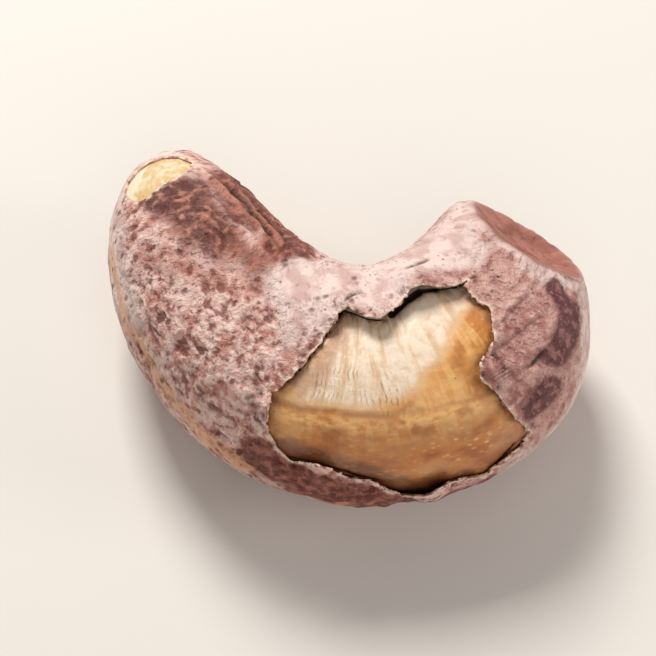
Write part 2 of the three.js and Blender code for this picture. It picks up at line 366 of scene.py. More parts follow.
def place_of(sphere):
    """The place on the nut of points of a unit sphere whose poles are on Y."""
    power = np.where(sphere[:, 1] > 0, LONG_TIP_POWER, BLUNT_TIP_POWER)
    along = np.clip((1 - sphere[:, 1]) / 2, 0, 1)
    swell = np.sqrt(np.maximum(0, 1 - np.abs(sphere[:, 1]) ** power))
    return Place(along, swell, np.arctan2(sphere[:, 2], sphere[:, 0]))


def whole_body(sphere):
    """The nut's smooth surface before its end is hollowed."""
    place = place_of(sphere)
    step = 1e-4
    line = [s[:2] for s in STATIONS]
    ahead = curve_through(line, np.minimum(place.along + step, 1))
    ahead = unit_rows(ahead - curve_through(line, np.maximum(place.along - step, 0)))
    inward = np.column_stack([-ahead[:, 1], ahead[:, 0]])
    size = curve_through([s[2:] for s in STATIONS], place.along)
    across, rise = (
        np.sign(c) * np.abs(c) ** (2 / SECTION_POWER) for c in (np.cos(place.turn), np.sin(place.turn))
    )
    width = np.where(across > 0, size[:, 0], size[:, 1])
    flat = curve_through(line, place.along) + inward * (place.swell * across * width)[:, None]
    return np.column_stack([flat, MID_HEIGHT + place.swell * size[:, 2] * rise])


def smooth_body(sphere):
    """The nut's smooth surface, before anything stands off it."""
    points = whole_body(sphere)
    off = points - HOLLOW_AT
    reach = np.linalg.norm(off, axis=1)[:, None]
    return np.where(reach < HOLLOW_RADIUS, HOLLOW_AT + off * (HOLLOW_RADIUS / reach), points)


def sunk_in(sphere):
    """How deep the hollow in the blunt lobe's end cuts at each point, and negative outside it."""
    return HOLLOW_RADIUS - np.linalg.norm(whole_body(sphere) - HOLLOW_AT, axis=1)


def outward(sphere):
    """The smooth body's outward directions."""
    step = 0.04
    pole = np.where(np.abs(sphere[:, 1:2]) > 0.8, (1.0, 0.0, 0.0), (0.0, 1.0, 0.0))
    side = unit_rows(np.cross(pole, sphere))
    rise = np.cross(sphere, side)
    slopes = [
        smooth_body(unit_rows(sphere + d * step)) - smooth_body(unit_rows(sphere - d * step))
        for d in (side, rise)
    ]
    return unit_rows(np.cross(*slopes))


def standing_off(sphere, height, pull):
    """Points that stand height off the smooth body, drawn towards the beak."""
    points = smooth_body(sphere) + outward(sphere) * height[:, None]
    near = pull * bump(np.linalg.norm(points - BEAK_AT, axis=1), BEAK_REACH)
    return points + (BEAK_AT - points) * near[:, None]


VIEW_RIGHT = np.array((math.cos(VIEW_TURN), math.sin(VIEW_TURN), 0))
VIEW_BACK = np.array((
    math.sin(VIEW_TURN) * math.cos(VIEW_TILT),
    -math.cos(VIEW_TURN) * math.cos(VIEW_TILT),
    math.sin(VIEW_TILT),
))
VIEW_UP = np.cross(VIEW_BACK, VIEW_RIGHT)


def in_view(points):
    """How far right, up and towards the eye each point is from the middle."""
    return (points - (0, 0, MID_HEIGHT)) @ np.column_stack([VIEW_RIGHT, VIEW_UP, VIEW_BACK])


def straightened(place):
    """Where each place would be if the nut were bent straight."""
    reach = GIRTH * place.swell
    return np.column_stack([
        place.along * LENGTH,
        reach * np.cos(place.turn),
        reach * np.sin(place.turn),
    ])


def grains(points, size, seed=0, octaves=1, squash=1.0):
    """Smooth noise from about -1 to 1, in lumps of this size, shorter along the nut by squash."""
    scaled = points * (squash / size, 1 / size, 1 / size) + GRAIN_SHIFT * (seed + 1)
    return np.array([noise.fractal(p, GRAIN_FALL, GRAIN_STEP, octaves) for p in scaled.tolist()])


def wander(points, size, seed, octaves):
    """A smooth shift to the right and up, from about -1 to 1."""
    return np.column_stack([grains(points, size, seed + i, octaves) for i in (0, 1)])


def to_line(seen, line):
    """The distance of each seen point from a line through these points."""
    near = np.full(len(seen), FAR)
    for start, end in zip(np.array(line[:-1]), np.array(line[1:])):
        edge = end - start
        share = np.clip((seen - start) @ edge / (edge @ edge), 0, 1)
        near = np.minimum(near, np.linalg.norm(seen - start - share[:, None] * edge, axis=1))
    return near


def is_inside(seen, outline):
    """Whether each seen point is inside a closed outline, by counting the edges to its right."""
    inside = np.zeros(len(seen), bool)
    x, y = seen.T
    for (ax, ay), (bx, by) in zip(outline, outline[1:] + outline[:1]):
        if ay != by:
            crosses = (ay > y) != (by > y)
            inside ^= crosses & (x < ax + (y - ay) * (bx - ax) / (by - ay))
    return inside


def outside_by(seen, outline):
    """How far outside a closed outline each seen point is, and negative inside it."""
    near = to_line(seen, outline + outline[:1])
    return np.where(is_inside(seen, outline), -near, near)


def clear_of_tears(points, facing=None):
    """How far each point is outside the nearest tear, and negative inside one.

    Where facing is given, 0 edge-on to the view and 1 square to it, the tears are ragged.
    """
    seen = in_view(points)
    flat = seen[:, :2]
    clear = np.full(len(points), FAR)
    for outline, starts in TEARS:
        off = np.where(seen[:, 2] < starts, FAR, outside_by(flat, outline))
        clear = np.where(np.abs(off) < np.abs(clear), off, clear)
    if facing is not None:
        close = np.abs(clear) < RAG_REACH
        upright = np.column_stack([flat, np.zeros(len(flat))])[close]
        rag = RAG_DEPTH * grains(upright, RAG_SIZE, seed=3, octaves=2)
        rag += FRAY_DEPTH * grains(upright, FRAY_SIZE, seed=4)
        clear[close] += rag * facing[close] ** 2
    return clear


def strokes(seen, lines):
    """Soft strokes over what is seen: points, width and strength of each."""
    total = np.zeros(len(seen))
    for line, width, strength in lines:
        total = np.maximum(total, strength * bump(to_line(seen, line), width))
    return total


def furrowed(seen, lines):
    """The depth of fine lines that thin out at their ends."""
    total = np.zeros(len(seen))
    for line, width, depth in lines:
        along = np.linalg.norm(seen - np.mean([line[0], line[-1]], axis=0), axis=1)
        half = math.dist(line[0], line[-1]) / 2
        total += depth * bump(to_line(seen, line), width) * (1 - 0.6 * ease(along, 0.5 * half, half))
    return total


def sphere_of_cells(cuts, denser_towards):
    """A unit sphere of square cells, closer together on one side."""
    bm = bmesh.new()
    bmesh.ops.create_cube(bm, size=2)
    bmesh.ops.subdivide_edges(bm, edges=bm.edges[:], cuts=cuts, use_grid_fill=True)
    shift = Vector(denser_towards)
    for v in bm.verts:
        even = Vector([math.tan(c * math.pi / 4) for c in v.co])
        v.co = (even.normalized() + shift).normalized()
    return bm


def places_in(bm):
    return np.array([v.co[:] for v in bm.verts])


def divide(bm, wanted):
    """Divides the cells between wanted points, and puts the new points on the sphere."""
    bm.verts.index_update()
    edges = [e for e in bm.edges if wanted[e.verts[0].index] and wanted[e.verts[1].index]]
    bmesh.ops.subdivide_edges(bm, edges=edges, cuts=1, use_grid_fill=True)
    for v in bm.verts:
        v.co.normalize()


def move_to(bm, points):
    for v, p in zip(bm.verts, points.tolist()):
        v.co = p


def mark(bm, fields):
    """Keeps what is known of each point with it, for the finishes."""
    for name, values in fields.items():
        layers = bm.verts.layers.float_vector if values.ndim == 2 else bm.verts.layers.float
        layer = layers.new(name)
        for v, value in zip(bm.verts, values.tolist()):
            v[layer] = value


def piece(bm, name, shift):
    """A finished, smooth-shaded object in metres, with its place in its mesh."""
    bmesh.ops.translate(bm, verts=bm.verts, vec=shift)
    bmesh.ops.scale(bm, verts=bm.verts, vec=(MM, MM, MM))
    bmesh.ops.recalc_face_normals(bm, faces=bm.faces)
    for f in bm.faces:
        f.smooth = True
    mesh = bpy.data.meshes.new(name)
    bm.to_mesh(mesh)
    bm.free()
    obj = bpy.data.objects.new(name, mesh)
    bpy.context.collection.objects.link(obj)
    return obj


def patches(place, spots):
    """Soft spots on the nut: along, turn, length and width in millimetres, and strength."""
    total = np.zeros(len(place.along))
    for along, turn, length, width, strength in spots:
        off_along = (place.along - along) * LENGTH / length
        off_turn = wrapped(place.turn - turn) * GIRTH / width
        total = np.maximum(total, strength * np.exp(-(off_along**2) - off_turn**2))
    return total


def wrinkle_rings(body, seen, facing):
    """How much each point has of the rings round the scorched place, and their height there."""
    off = seen - RINGS_AT
    away = np.linalg.norm(off, axis=1) + 0.45 * grains(body, 1.5, seed=5, octaves=2)
    ringed = facing * ease(off[:, 1] + 0.3 * off[:, 0], -0.5, 1.2) * ease(away, 0.4, 1.2)
    ringed *= 1 - ease(away, 0.6 * RINGS_REACH, RINGS_REACH)
    rings = RING_HEIGHT * ringed * ease(grains(body, 0.9, seed=9, octaves=2), -0.5, 0.3)
    rings *= np.sin(2 * math.pi * away / RINGS_STEP)
    return ringed, rings


def skin_relief(place, body, seen, facing, pale):
    """The low relief of the skin's outside, and apart from it its grain and its furrows."""
    raphe = RAPHE_HEIGHT * bump(math.pi - np.abs(place.turn), RAPHE_WIDTH)
    lumps = LUMP_HEIGHT * grains(body, LUMP_SIZE, seed=1, octaves=2)
    ringed, rings = wrinkle_rings(body, seen, facing)
    coarse = (1 - 0.8 * np.clip(pale, 0, 1)) * (1 - 0.5 * ringed)
    coarse *= 1 - 0.5 * ease(place.along, 0.66, 0.8)
    coarse *= 1 - 0.65 * facing * strokes(seen, [(RIDGES[0][0], 1.3, 1.0)])
    leather = LEATHER_HEIGHT * grains(body, LEATHER_SIZE, seed=2, octaves=3)
    pits = -PIT_DEPTH * ease(grains(body, PIT_SIZE, seed=6, octaves=2), 0.1, 0.5)
    creases = -CREASE_DEPTH * bump(grains(body, CREASE_SIZE, seed=7, octaves=2), 0.16)
    fine = rings + coarse * (leather + pits + creases)
    swayed = seen + 0.08 * wander(body, 0.9, seed=21, octaves=2)
    cut = facing * furrowed(swayed, FURROWS)
    folds = facing * furrowed(swayed, RIDGES)
    return place.swell * (raphe + lumps) + folds + cut + fine, fine + 0.5 * folds, cut


def beside_tears(seen, away):
    """How far the skin has lifted beside the tears, and how much closer it lies where it hasn't."""
    lift = np.zeros(len(seen))
    for right, up, wide, rise in LIFTS:
        lift = np.maximum(lift, rise * bump(np.linalg.norm(seen - (right, up), axis=1), wide))
    lift *= 1 - ease(away, 0, LIFT_REACH)
    cling = CLING * (1 - ease(away, 0, CLING_REACH)) * (1 - ease(lift, 0, 0.2))
    return lift, cling


def skin_colouring(place, body, seen, facing):
    """How strong each of the skin's colours is at each point."""
    drift = wander(body, 1.4, seed=11, octaves=3)
    drifted = Place(place.along + drift[:, 0] / LENGTH, place.swell, place.turn + drift[:, 1] / GIRTH)
    marks = {}
    for name, (drawn, spots, reach) in SKIN_COLOURS.items():
        shown = facing * strokes(seen + reach * drift, drawn)
        marks[name] = np.maximum(shown, (1 - facing) * patches(drifted, spots))
    return marks


def skin_height(sphere):
    """How far the skin's outside stands off the smooth body, and what is known of each point."""
    place = place_of(sphere)
    body = smooth_body(sphere)
    normals = outward(sphere)
    facing = ease(normals @ VIEW_BACK, -0.2, 0.15)
    outside = body + normals * SKIN_STANDS
    seen = in_view(outside)[:, :2]
    lift, cling = beside_tears(seen, np.abs(clear_of_tears(outside)))
    marks = skin_colouring(place, body, seen, facing)
    # The painted reflection shows only where the skin turns towards the camera
    marks["painted_reflection"] *= ease(normals @ VIEW_BACK, 0.02, 0.25)
    relief, fine, cut = skin_relief(place, body, seen, facing, marks["pale"])
    sunk = sunk_in(sphere) + 0.06 * grains(body, 0.8, seed=14, octaves=2)
    hollow = ease(sunk, -0.15, 0.15)
    crest = bump(sunk + 0.02, 0.2)
    # Chalky pale patches, cleared from the hollow, and a pale line along its crest as a painted highlight
    marks["pale"] = np.maximum(marks["pale"] * (1 - hollow), 0.8 * crest)
    relief += CREST_HEIGHT * crest * place.swell - 0.7 * hollow * fine
    height = np.maximum(SKIN_STANDS + lift - cling + relief, SKIN_LOWEST)
    return height, {
        "grain": body,
        "relief": fine,
        # Painted shade in the furrows that don't go through
        "furrow_shade": np.clip(-cut * 5, 0, 1),
        "calm": ease(place.along + 0.03 * grains(body, 3.0, seed=13), 0.6, 0.74),
        "hollow": hollow,
        **marks,
    }


def onto_torn_edges(points, facing, normals):
    """The points drawn along the skin onto the nearest torn edge."""
    for _ in range(EDGE_ROUNDS):
        off = clear_of_tears(points, facing)
        slope = np.column_stack([
            clear_of_tears(points + d * EDGE_STEP, facing) - clear_of_tears(points - d * EDGE_STEP, facing)
            for d in (VIEW_RIGHT, VIEW_UP)
        ])
        uphill = (slope[:, :1] * VIEW_RIGHT + slope[:, 1:] * VIEW_UP) / (2 * EDGE_STEP)
        uphill -= normals * np.sum(uphill * normals, axis=1)[:, None]
        steep = np.maximum(np.sum(uphill**2, axis=1), 0.2)
        move = uphill * (-off / steep)[:, None]
        length = np.maximum(np.linalg.norm(move, axis=1), 1e-9)
        points = points + move * (np.minimum(length, EDGE_MOVE) / length)[:, None]
    return points


def cut_tears(bm, points, normals):
    """The points with those at the border on the torn edges, and the cells that the tears take out."""
    bm.verts.index_update()
    facing = np.clip(normals @ VIEW_BACK, 0, 1)
    inside = clear_of_tears(points, facing) < 0
    gone = []
    border = set()
    for face in bm.faces:
        corners = [v.index for v in face.verts]
        lost = [i for i in corners if inside[i]]
        if len(lost) == len(corners):
            gone.append(face)
        else:
            border.update(lost)
    edge = np.array(sorted(border))
    points = points.copy()
    points[edge] = onto_torn_edges(points[edge], facing[edge], normals[edge])
    return points, gone


def make_skin(shift):
    """Makes the torn skin, shifted as the kernel is."""
    bm = sphere_of_cells(*SKIN_CELLS)
    for close in (NEAR_TEAR * 2, NEAR_TEAR):
        sphere = places_in(bm)
        height = np.full(len(sphere), SKIN_STANDS)
        clear = clear_of_tears(standing_off(sphere, height, BEAK_PULL))
        divide(bm, np.abs(clear) < close)
    divide(bm, sunk_in(places_in(bm)) > -NEAR_TEAR)
    sphere = places_in(bm)
    height, fields = skin_height(sphere)
    points = standing_off(sphere, height, BEAK_PULL)
    points[:, 2] = np.maximum(points[:, 2], 0)
    normals = outward(sphere)
    points, gone = cut_tears(bm, points, normals)
    clear = clear_of_tears(points, np.clip(normals @ VIEW_BACK, 0, 1))
    fields["edge"] = bump(np.maximum(clear, 0), TORN_WIDTH)
    move_to(bm, points)
    mark(bm, fields)
    bmesh.ops.delete(bm, geom=gone, context="FACES")
    skin = piece(bm, "papery_skin", shift)
    for finish in (skin_finish(), skin_inside_finish(), torn_finish()):
        skin.data.materials.append(finish)
    wall = skin.modifiers.new("wall", "SOLIDIFY")
    wall.thickness = SKIN_WALL * MM
    wall.offset = -1
    wall.material_offset = 1
    wall.material_offset_rim = 2
    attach(skin, "root")
    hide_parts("skin")


def kernel_wrinkles(straight, seen, over):
    """Where the fine wrinkles across the kernel's cream part are."""
    sides = ease(seen[:, 0], -4.0, -3.2) * (1 - ease(seen[:, 0], 1.2, 3.0))
    reach = over + 1.3 * grains(straight, 0.9, seed=34, octaves=2, squash=1.6)
    wrinkled = sides * ease(over, -0.75, -0.45) * (1 - ease(reach, 0.6, 2.8))
    return wrinkled * ease(grains(straight, 1.2, seed=32), -0.5, 0.4)


def kernel_grain(straight, back, wrinkled):
    """The kernel's fine streaks, pimples and ripples."""
    along = 2 * math.pi * straight[:, 0]
    ripples = np.sin(along / RIPPLE_STEP + 2 * grains(straight, 1.5, seed=33, octaves=2))
    streaks = np.sin(along / STREAK_STEP + 4 * grains(straight, 2.0, seed=35))
    pimples = grains(straight, PIMPLE_SIZE, seed=36, octaves=2)
    on_back = back * (STREAK_HEIGHT * streaks + PIMPLE_HEIGHT * pimples)
    return on_back + RIPPLE_HEIGHT * wrinkled * ripples


def kernel_fields(sphere):
    """How far the kernel stands off the smooth body, and what is known of each point."""
    place = place_of(sphere)
    straight = straightened(place)
    body = smooth_body(sphere)
    normals = outward(sphere)
    facing = ease(normals @ VIEW_BACK, -0.2, 0.1)
    seen = in_view(body + normals * KERNEL_STANDS)[:, :2]
    clear = clear_of_tears(body + normals * SKIN_STANDS)
    over = (RIDGE_TURN - np.abs(place.turn)) * GIRTH + 0.25 * grains(straight, 2.5, seed=31, octaves=2)
    middle = ease(place.along, 0.25, 0.4) * (1 - ease(place.along, 0.85, 0.95))
    back = middle * (1 - ease(over, -1.4, 0.3))
    at_tip = facing * (1 - ease(place.along, 0.12, 0.2))
    wrinkled = kernel_wrinkles(straight, seen, over)
    # Painted shadow in the gaps under the lifted skin, which GAP_DEPTH also sinks
    shaded_gap = np.zeros(len(sphere))
    for line, width in SHADED_GAPS:
        shaded_gap = np.maximum(shaded_gap, facing * bump(to_line(seen, line), width))
    covered = ease(clear, 0.1, 0.5)
    height = KERNEL_STANDS - KERNEL_SINKS * covered + TIP_STANDS * at_tip * (1 - covered)
    crease = -RIDGE_CREASE * middle * bump(over + 0.3, 0.2)
    lumps = KERNEL_LUMPS * grains(straight, 4.0, seed=37, octaves=2)
    lumps += 0.3 * KERNEL_LUMPS * grains(straight, 1.2, seed=40, octaves=2)
    height += place.swell * (BACK_STANDS * back + crease + lumps)
    height += kernel_grain(straight, back, wrinkled) - GAP_DEPTH * shaded_gap
    swayed = seen + 0.3 * wander(straight, 1.2, seed=44, octaves=3)
    border = outside_by(seen, CREAM) + 0.35 * grains(straight, 1.3, seed=38, octaves=3)
    thinned = ease(grains(straight, 1.5, seed=43), -0.8, 0.2)
    return height, {
        "grain": straight,
        "pale": facing * np.maximum(1 - ease(border, -0.7, 0.8), strokes(seen, TIP_CREAM)),
        "toast": ease(-over + 0.4 * grains(straight, 1.6, seed=39, octaves=2), -1.0, 4.6),
        # Painted shade along the window's lower torn edge
        "deep_brown": facing * strokes(swayed, LOW_EDGE_SHADE),
        # Pale dots: granular over the back, and painted glints in the strokes
        "granular_and_glints": np.maximum(0.25 * back, facing * strokes(swayed, GLINT_STROKES)),
        # tan: painted shade from the overhanging skin
        "tan": facing * strokes(swayed, SKIN_SHADE_STROKES),
        "tip": at_tip,
        # Painted highlight in a band just below the ridge
        "ridge_highlight": middle * bump(over + 0.6, 0.5),
        # Painted shade along the crease below the ridge
        "crease": middle * bump(over + 0.35, 0.2) * thinned,
        "wrinkled": wrinkled,
        "shaded_gap": shaded_gap,
        "rim": middle * facing * bump(clear, 0.35),
    }


def make_kernel(kernel_box):
    """Makes the kernel, and gives the shift that centres the plain body on the kernel's box."""
    bm = sphere_of_cells(*KERNEL_CELLS)
    low, high = (np.array(corner) / MM for corner in kernel_box)
    plain = smooth_body(places_in(bm))
    shift = (low + high - plain.min(axis=0) - plain.max(axis=0)) / 2
    shift[2] = 0
    divide(bm, clear_of_tears(plain) < NEAR_BARE)
    sphere = places_in(bm)
    height, fields = kernel_fields(sphere)
    points = standing_off(sphere, height, 0)
    points[:, 2] = np.maximum(points[:, 2], KERNEL_FLOOR)
    move_to(bm, points)
    mark(bm, fields)
    kernel = piece(bm, "roasted_kernel", shift)
    kernel.data.materials.append(kernel_finish())
    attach(kernel, "root")
    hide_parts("kernel")
    return shift


def paint(red, green, blue):
    """A colour as seen on a screen, 0 to 255, made linear."""
    linear = []
    for c in (red / 255, green / 255, blue / 255):
        linear.append(c / 12.92 if c <= 0.04045 else ((c + 0.055) / 1.055) ** 2.4)
    return (*linear, 1)


class Finish:
    """A material and the few kinds of node that its pattern is built from."""

    def __init__(self, name):
        self.material = bpy.data.materials.new(name)
        self.material.use_nodes = True
        self.tree = self.material.node_tree
        self.surface = self.tree.nodes["Principled BSDF"]
        self.grain = self.mark("grain", "Vector")

    def node(self, kind, inputs, **settings):
        node = self.tree.nodes.new("ShaderNode" + kind)
        for key, value in settings.items():
            setattr(node, key, value)
        for key, value in inputs.items():
            if isinstance(value, bpy.types.NodeSocket):
                self.tree.links.new(value, node.inputs[key])
            else:
                node.inputs[key].default_value = value
        return node

    def mark(self, name, output="Fac"):
        """What is kept with each point under this name."""
        return self.node("Attribute", {}, attribute_name=name).outputs[output]

    def math(self, operation, a, b=0.0):
        return self.node("Math", {0: a, 1: b}, operation=operation).outputs[0]

    def plus(self, a, b):
        return self.math("ADD", a, b)

    def times(self, a, b):
        return self.math("MULTIPLY", a, b)

    def between(self, value, low, high):
        """0 below low, 1 above high, or the other way round where high is the lower."""
        inputs = {"Value": value, "From Min": low, "From Max": high}
        return self.node("MapRange", inputs, interpolation_type="SMOOTHSTEP").outputs["Result"]

    def broken(self, name, pattern, strength):
        """What is kept under this name, its edges broken up by a pattern."""
        return self.plus(self.mark(name), self.times(pattern, strength))

    def mottle(self, size, detail=3, squash=(1, 1, 1), distortion=0.0):
        """Noise from 0 to 1, in lumps of this size in millimetres, shorter by squash."""
        scaled = self.node("Mapping", {"Vector": self.grain, "Scale": [s / size for s in squash]})
        inputs = {"Vector": scaled.outputs[0], "Scale": 1.0, "Detail": detail, "Distortion": distortion}
        return self.node("TexNoise", inputs).outputs["Fac"]

    def creased(self, size, width):
        """1 along thin wandering lines, and 0 between them."""
        off = self.math("SUBTRACT", self.mottle(size), 0.5)
        return self.between(self.math("ABSOLUTE", off), width, 0.0)

    def lined(self, step, sway):
        """1 along thin lines across the nut, this far apart, and 0 between them."""
        across = self.node("SeparateXYZ", {0: self.grain}).outputs[0]
        turns = self.plus(self.times(across, 2 * math.pi / step), self.times(self.mottle(1.5), sway))
        return self.between(self.math("SINE", turns), 0.45, 1.0)

    def dots(self, size, middle, rim):
        """1 at many scattered points, about this far apart, and 0 further off than their rim."""
        scaled = self.node("Mapping", {"Vector": self.grain, "Scale": (1 / size,) * 3})
        away = self.node("TexVoronoi", {"Vector": scaled.outputs[0], "Scale": 1.0}).outputs["Distance"]
        return self.between(away, rim, middle)

    def over(self, under, colour, amount):
        """A colour laid over another one."""
        return self.node("Mix", {0: amount, 6: under, 7: colour}, data_type="RGBA").outputs[2]

    def laid(self, under, colour, value, low, high, share=1):
        """A colour laid over another one up to this share, where a value goes from low to high."""
        amount = self.between(value, low, high)
        return self.over(under, colour, amount if share == 1 else self.times(amount, share))

    def raised(self, height, distance, under=None):
        """A bump of this height in millimetres."""
        inputs = {"Height": height, "Distance": distance * MM, "Strength": 1.0}
        if under is not None:
            inputs["Normal"] = under
        return self.node("Bump", inputs).outputs["Normal"]

    def set(self, **inputs):
        """Sets the surface's sockets; Base_Color names Base Color."""
        for name, value in inputs.items():
            socket = self.surface.inputs[name.replace("_", " ")]
            if isinstance(value, bpy.types.NodeSocket):
                self.tree.links.new(value, socket)
            else:
                socket.default_value = value


def skin_ground(f, medium, speckle):
    """The skin's pink mottling, with a painted highlight on its bumps and painted shade in its pits, and
    mauve on the blunt lobe.
    """
    relief = f.mark("relief")
    colour = f.laid(paint(190, 132, 119), paint(224, 184, 175), medium, 0.36, 0.6)
    colour = f.laid(colour, paint(250, 222, 208), speckle, 0.5, 0.62, 0.8)
    colour = f.laid(colour, paint(134, 80, 69), speckle, 0.45, 0.33, 0.85)
    colour = f.laid(colour, paint(252, 222, 206), relief, 0.02, 0.1, 0.6)
    colour = f.laid(colour, paint(120, 62, 50), relief, -0.07, -0.16, 0.75)
    mauve = f.laid(paint(168, 114, 106), paint(196, 150, 140), medium, 0.36, 0.62)
    mauve = f.laid(mauve, paint(226, 186, 172), speckle, 0.5, 0.64, 0.6)
    mauve = f.laid(mauve, paint(136, 82, 76), speckle, 0.44, 0.34, 0.5)
    mauve = f.laid(mauve, paint(236, 204, 190), relief, 0.02, 0.08, 0.7)
    return f.over(colour, mauve, f.times(f.mark("calm"), 0.9))


def skin_patches(f, colour, medium, speckle):
    """The russet, scorched and chalky places on the skin, the painted reflection along its lower rim, and
    the plum places, in this order.
    """
    russet = f.laid(paint(98, 38, 24), paint(156, 82, 60), speckle, 0.42, 0.64)
    colour = f.laid(colour, russet, f.broken("rosy", speckle, 0.8), 0.6, 1.15, 0.9)
    # The scorched places are paler on their raised rings, a painted highlight, and mottled by the speckle
    raised = f.plus(f.times(f.mark("relief"), 3.0), f.times(speckle, 0.6))
    burnt = f.laid(paint(86, 36, 26), paint(180, 118, 100), raised, 0.16, 0.48)
    colour = f.laid(colour, burnt, f.broken("scorch", speckle, 1.0), 0.45, 1.2, 0.92)
    chalk = f.laid(paint(206, 174, 166), paint(232, 208, 200), medium, 0.38, 0.56)
    chalk = f.laid(chalk, paint(184, 140, 130), speckle, 0.42, 0.32, 0.6)
    colour = f.laid(colour, chalk, f.broken("pale", speckle, 0.5), 0.42, 0.9, 0.93)
    # Painted reflection along the lower silhouette
    colour = f.laid(colour, paint(232, 174, 134), f.broken("painted_reflection", speckle, 1.5), 0.9, 1.7, 0.7)
    purple = f.laid(paint(96, 52, 54), paint(148, 98, 96), speckle, 0.5, 0.62)
    return f.laid(colour, purple, f.broken("plum", speckle, 0.7), 0.58, 0.86, 0.92)


def skin_specks(f, colour, medium, pitted):
    """The thin lines, the painted shade in the pits and the specks all over the skin."""
    lines = f.times(f.creased(0.9, 0.03), f.between(f.mottle(3.5), 0.45, 0.65))
    colour = f.over(colour, paint(126, 74, 62), f.times(lines, 0.25))
    # Painted shade in the pits that the bump sinks
    spots = f.times(pitted, f.between(f.mark("calm"), 1.4, 0.0))
    colour = f.over(colour, paint(108, 60, 52), f.times(spots, 0.75))
    specks = f.times(f.dots(0.5, 0.08, 0.22), f.between(medium, 0.42, 0.58))
    return f.over(colour, paint(90, 50, 42), f.times(specks, 0.7))


def skin_hollow_and_edges(f, colour, medium, speckle):
    """The smooth amber hollow, the light torn edge and the painted shade in the furrows."""
    amber = f.laid(paint(134, 76, 62), paint(172, 112, 96), medium, 0.35, 0.65)
    amber = f.laid(amber, paint(104, 56, 44), speckle, 0.45, 0.35, 0.5)
    colour = f.over(colour, amber, f.times(f.mark("hollow"), 0.95))
    edge = f.times(f.mark("edge"), f.between(speckle, 0.4, 0.55))
    colour = f.over(colour, paint(246, 218, 198), edge)
    return f.over(colour, paint(58, 28, 22), f.times(f.mark("furrow_shade"), 0.9))


def skin_bumps(f, speckle, pitted):
    """The skin's fine grain, softer on its pale parts and in the hollow."""
    grooved = f.math("SUBTRACT", speckle, f.times(pitted, 0.3))
    grooved = f.math("SUBTRACT", grooved, f.times(f.creased(0.6, 0.06), 0.1))
    smooth = f.math("MAXIMUM", f.mark("hollow"), f.between(f.mark("pale"), 0.4, 1.0))
    grooved = f.times(grooved, f.between(smooth, 1.25, 0.2))
    return f.raised(grooved, 0.36, f.raised(f.mottle(0.16), 0.06))


def skin_finish():
    f = Finish("papery_skin")
    medium = f.mottle(1.3, 4)
    speckle = f.mottle(0.45, 4)
    pitted = f.times(f.dots(0.7, 0.14, 0.38), f.between(f.mottle(0.7, 2), 0.42, 0.56))
    colour = skin_ground(f, medium, speckle)
    colour = skin_patches(f, colour, medium, speckle)
    colour = skin_specks(f, colour, medium, pitted)
    colour = skin_hollow_and_edges(f, colour, medium, speckle)
    f.set(Base_Color=colour, Roughness=0.6, Specular_IOR_Level=0.35)
    f.set(Subsurface_Weight=0.1, Subsurface_Scale=0.3 * MM, Subsurface_Radius=(1.0, 0.5, 0.35))
    f.set(Normal=skin_bumps(f, speckle, pitted))
    return f.material


def skin_inside_finish():
    f = Finish("skin_inside")
    colour = f.laid(paint(150, 100, 70), paint(92, 54, 38), f.mottle(0.9), 0.35, 0.7)
    f.set(Base_Color=colour, Roughness=0.5, Normal=f.raised(f.mottle(0.25), 0.03))
    return f.material


def torn_finish():
    f = Finish("torn_skin")
    colour = f.laid(paint(232, 200, 178), paint(150, 98, 80), f.mottle(0.5), 0.4, 0.65)
    f.set(Base_Color=colour, Roughness=0.8, Normal=f.raised(f.mottle(0.1), 0.03))
    return f.material


def kernel_gold(f, medium, cloudy, soft, fibres):
    """The kernel's golden flesh, darker where it is toasted, paler towards its cream part, with a painted
    highlight just below its ridge and painted shade along the window's lower edge.
    """
    gold = f.laid(paint(204, 134, 64), paint(228, 166, 92), medium, 0.38, 0.6)
    gold = f.laid(gold, paint(244, 200, 128), fibres, 0.5, 0.62, 0.5)
    gold = f.laid(gold, paint(166, 98, 46), soft, 0.5, 0.3, 0.6)
    deep_brown = f.laid(paint(160, 88, 40), paint(194, 120, 60), soft, 0.35, 0.65)
    gold = f.laid(gold, deep_brown, f.broken("toast", medium, 0.6), 0.3, 1.15, 0.9)
    # Painted highlight in a band just below the ridge
    ridge_highlight = f.times(f.mark("ridge_highlight"), f.between(cloudy, 0.42, 0.58))
    gold = f.over(gold, paint(240, 192, 122), f.times(ridge_highlight, 0.8))
    # Painted shade along the window's lower torn edge
    gold = f.laid(gold, paint(108, 50, 26), f.broken("deep_brown", cloudy, 0.6), 0.5, 1.2, 0.85)
    return f.laid(gold, paint(230, 188, 140), f.broken("pale", medium, 0.5), 0.15, 0.6, 0.8)


def kernel_cream(f, cloudy, fibres):
    """The kernel's cream part, with painted shade in tan where the skin overhangs it."""
    cream = f.laid(paint(240, 221, 197), paint(222, 192, 156), fibres, 0.45, 0.65)
    cream = f.laid(cream, paint(206, 168, 128), cloudy, 0.45, 0.34, 0.35)
    return f.laid(cream, paint(196, 152, 120), f.broken("tan", fibres, 0.7), 0.4, 1.1, 0.8)


